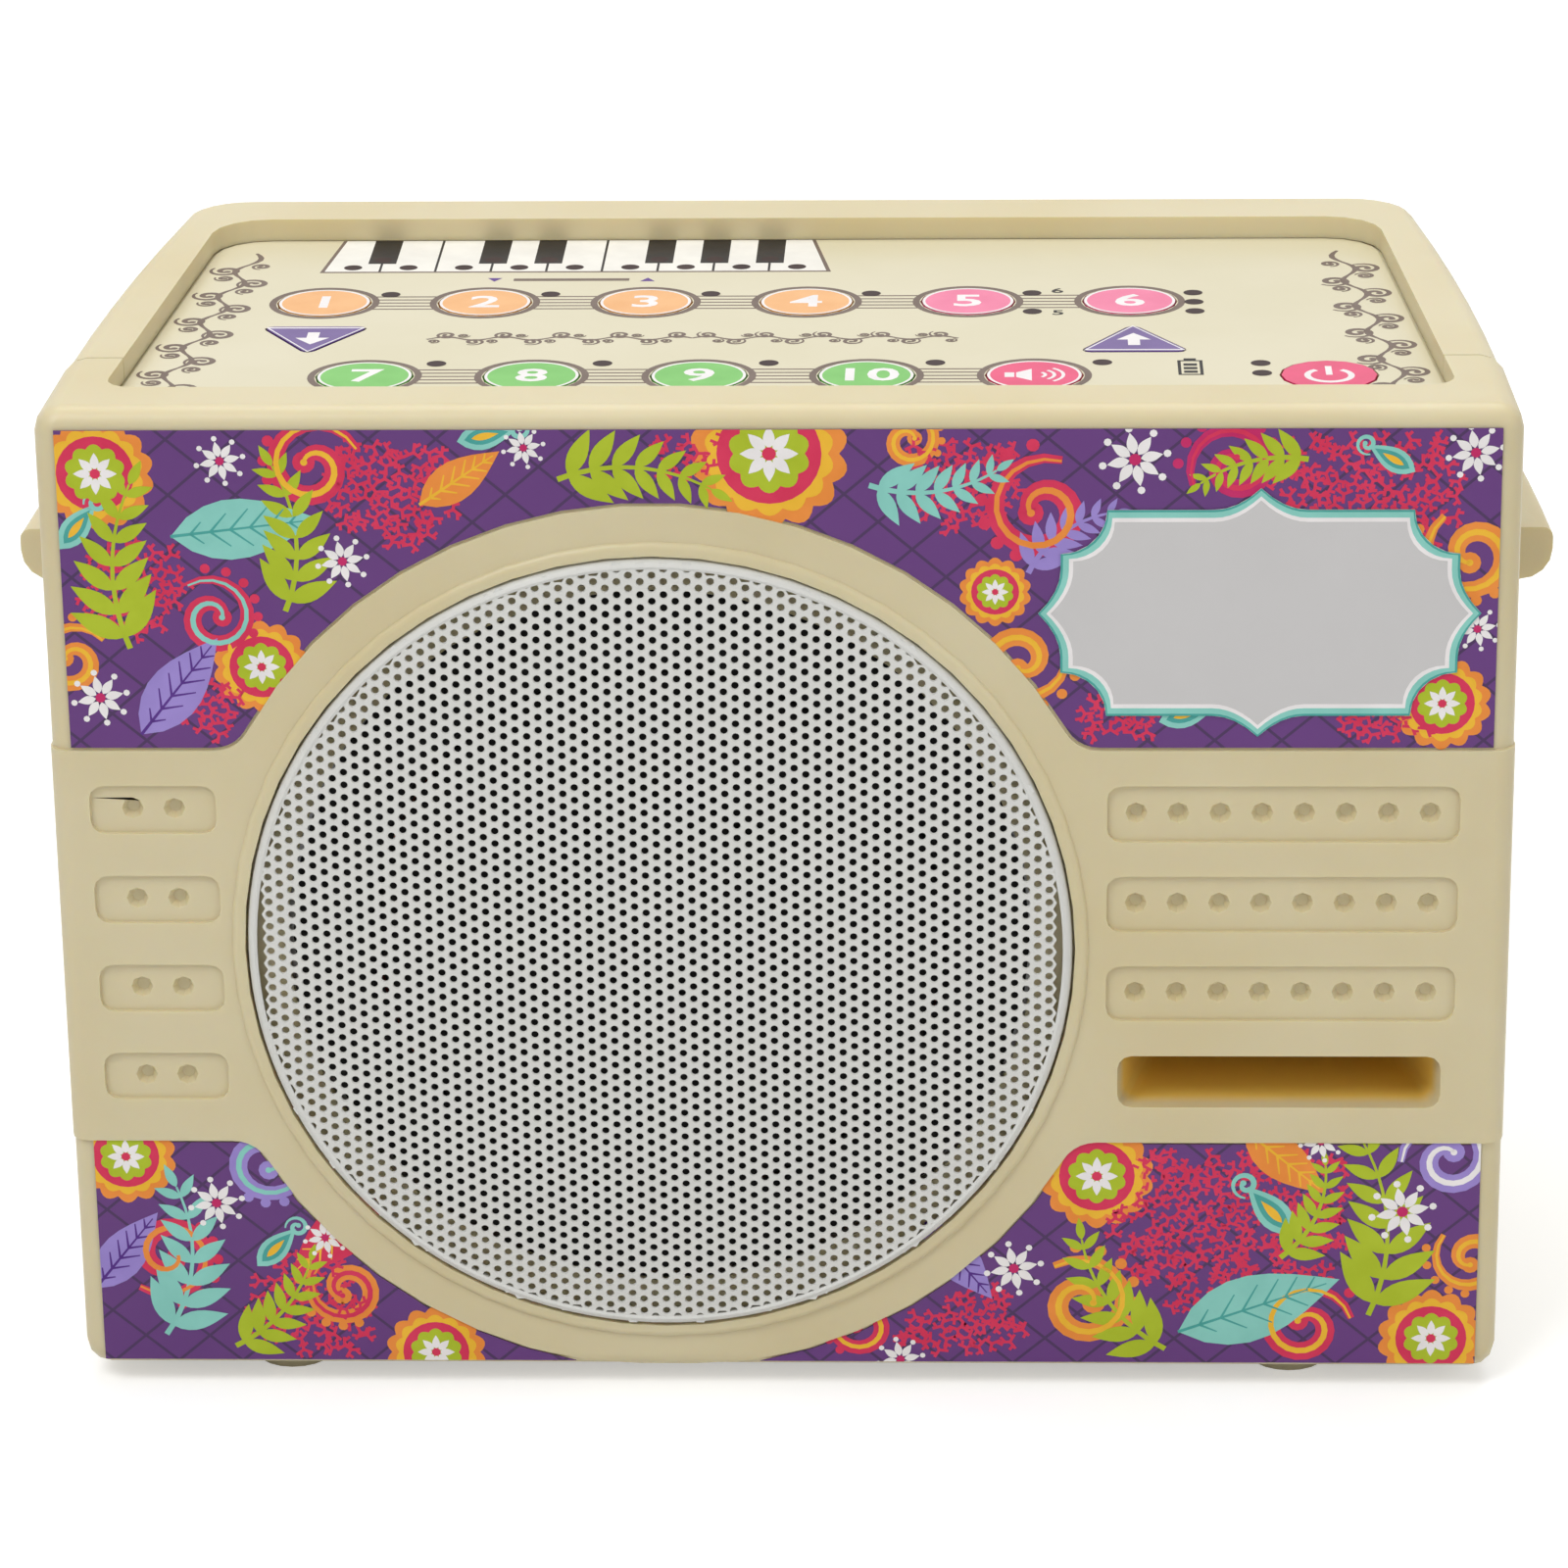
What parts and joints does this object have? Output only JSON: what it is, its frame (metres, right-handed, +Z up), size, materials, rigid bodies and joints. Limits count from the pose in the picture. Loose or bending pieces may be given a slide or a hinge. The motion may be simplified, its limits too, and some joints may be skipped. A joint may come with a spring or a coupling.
{
  "type": "electronic tanpura",
  "caption": "Moulded drone music box with a domed round speaker grille in front, side grips, a bass port and a sunken keypad on top.",
  "frame": {"origin": "middle of the whole object's footprint, on the plane that the feet stand on", "axes": "+X to the right seen from the speaker side, +Y from the speaker to the back wall, +Z up"},
  "size_m": [0.2394, 0.125, 0.163],
  "materials": {
    "moulded_abs": "moulded cream plastic, fine satin",
    "printed_label": "printed purple film, satin laminate",
    "printed_plaque": "printed pale grey film",
    "painted_grille": "perforated steel, powder coated off-white",
    "printed_overlay": "printed cream film",
    "orange_key": "printed orange",
    "pink_key": "printed pink",
    "green_key": "printed green",
    "magenta_key": "printed magenta",
    "purple_key": "printed purple",
    "black_plastic": "moulded black",
    "stamped_steel": "zinc-plated pressing",
    "plated_screw": "zinc plated",
    "pressed_paper": "felted paper",
    "woven_cloth": "resin-treated cloth",
    "ferrite": "sintered, dull",
    "foam": "soft foam",
    "circuit_board": "solder resist over glass laminate",
    "shrink_wrap": "heat-shrunk film",
    "lead_red": "insulated flexible lead",
    "lead_grey": "insulated flexible lead",
    "foot_rubber": "moulded pale rubber"
  },
  "bodies": {
    "case": {"battery_lead": "lead_red", "battery_pack": "shrink_wrap", "battery_pad": "foam", "case_screw_1": "plated_screw", "case_screw_2": "plated_screw", "case_screw_3": "plated_screw", "case_screw_4": "plated_screw", "foot_back_left": "foot_rubber", "foot_back_right": "foot_rubber", "foot_front_left": "foot_rubber", "foot_front_right": "foot_rubber", "front_shell": "moulded_abs", "keypad_board": "circuit_board", "keypad_lead": "lead_grey", "keypad_screw_1": "plated_screw", "keypad_screw_2": "plated_screw", "lower_label_left": "printed_label", "lower_label_right": "printed_label", "main_board": "circuit_board", "main_board_screw_1": "plated_screw", "main_board_screw_2": "plated_screw", "name_plaque": "printed_plaque", "panel_overlay": "printed_overlay", "panel_plate": "moulded_abs", "phone_jack": "black_plastic", "phone_jack_nut": "plated_screw", "power_jack": "black_plastic", "rear_shell": "moulded_abs", "speaker_basket": "stamped_steel", "speaker_gasket": "foam", "speaker_grille": "painted_grille", "speaker_lead": "lead_red", "speaker_magnet": "ferrite", "speaker_screw_1": "plated_screw", "speaker_screw_2": "plated_screw", "speaker_screw_3": "plated_screw", "speaker_screw_4": "plated_screw", "speaker_spider": "woven_cloth", "speaker_surround": "foam", "speaker_top_plate": "stamped_steel", "speaker_yoke": "stamped_steel", "upper_label": "printed_label"},
    "key_back_row_1": {"key_back_row_1": "orange_key"},
    "key_back_row_2": {"key_back_row_2": "orange_key"},
    "key_back_row_3": {"key_back_row_3": "orange_key"},
    "key_back_row_4": {"key_back_row_4": "orange_key"},
    "key_back_row_5": {"key_back_row_5": "pink_key"},
    "key_back_row_6": {"key_back_row_6": "pink_key"},
    "key_front_row_1": {"key_front_row_1": "green_key"},
    "key_front_row_2": {"key_front_row_2": "green_key"},
    "key_front_row_3": {"key_front_row_3": "green_key"},
    "key_front_row_4": {"key_front_row_4": "green_key"},
    "key_front_row_5": {"key_front_row_5": "magenta_key"},
    "key_power": {"key_power": "magenta_key"},
    "key_down": {"key_down": "purple_key"},
    "key_up": {"key_up": "purple_key"},
    "cone": {"speaker_cone": "pressed_paper", "speaker_dust_cap": "pressed_paper", "speaker_voice_coil": "woven_cloth"}
  },
  "joints": [
    {"name": "key_back_row_1_press", "type": "slide", "parent": "case", "child": "key_back_row_1", "axis": [0, 0, -1], "range_m": [0, 0.0004], "stiffness_N_per_m": 400},
    {"name": "key_back_row_2_press", "type": "slide", "parent": "case", "child": "key_back_row_2", "axis": [0, 0, -1], "range_m": [0, 0.0004], "stiffness_N_per_m": 400},
    {"name": "key_back_row_3_press", "type": "slide", "parent": "case", "child": "key_back_row_3", "axis": [0, 0, -1], "range_m": [0, 0.0004], "stiffness_N_per_m": 400},
    {"name": "key_back_row_4_press", "type": "slide", "parent": "case", "child": "key_back_row_4", "axis": [0, 0, -1], "range_m": [0, 0.0004], "stiffness_N_per_m": 400},
    {"name": "key_back_row_5_press", "type": "slide", "parent": "case", "child": "key_back_row_5", "axis": [0, 0, -1], "range_m": [0, 0.0004], "stiffness_N_per_m": 400},
    {"name": "key_back_row_6_press", "type": "slide", "parent": "case", "child": "key_back_row_6", "axis": [0, 0, -1], "range_m": [0, 0.0004], "stiffness_N_per_m": 400},
    {"name": "key_front_row_1_press", "type": "slide", "parent": "case", "child": "key_front_row_1", "axis": [0, 0, -1], "range_m": [0, 0.0004], "stiffness_N_per_m": 400},
    {"name": "key_front_row_2_press", "type": "slide", "parent": "case", "child": "key_front_row_2", "axis": [0, 0, -1], "range_m": [0, 0.0004], "stiffness_N_per_m": 400},
    {"name": "key_front_row_3_press", "type": "slide", "parent": "case", "child": "key_front_row_3", "axis": [0, 0, -1], "range_m": [0, 0.0004], "stiffness_N_per_m": 400},
    {"name": "key_front_row_4_press", "type": "slide", "parent": "case", "child": "key_front_row_4", "axis": [0, 0, -1], "range_m": [0, 0.0004], "stiffness_N_per_m": 400},
    {"name": "key_front_row_5_press", "type": "slide", "parent": "case", "child": "key_front_row_5", "axis": [0, 0, -1], "range_m": [0, 0.0004], "stiffness_N_per_m": 400},
    {"name": "key_power_press", "type": "slide", "parent": "case", "child": "key_power", "axis": [0, 0, -1], "range_m": [0, 0.0004], "stiffness_N_per_m": 400},
    {"name": "key_down_press", "type": "slide", "parent": "case", "child": "key_down", "axis": [0, 0, -1], "range_m": [0, 0.0004], "stiffness_N_per_m": 400},
    {"name": "key_up_press", "type": "slide", "parent": "case", "child": "key_up", "axis": [0, 0, -1], "range_m": [0, 0.0004], "stiffness_N_per_m": 400},
    {"name": "cone_travel", "type": "slide", "parent": "case", "child": "cone", "axis": [0, 1, 0], "range_m": [-0.0015, 0.0015], "stiffness_N_per_m": 1500, "deforming": ["speaker_surround", "speaker_spider"]}
  ]
}
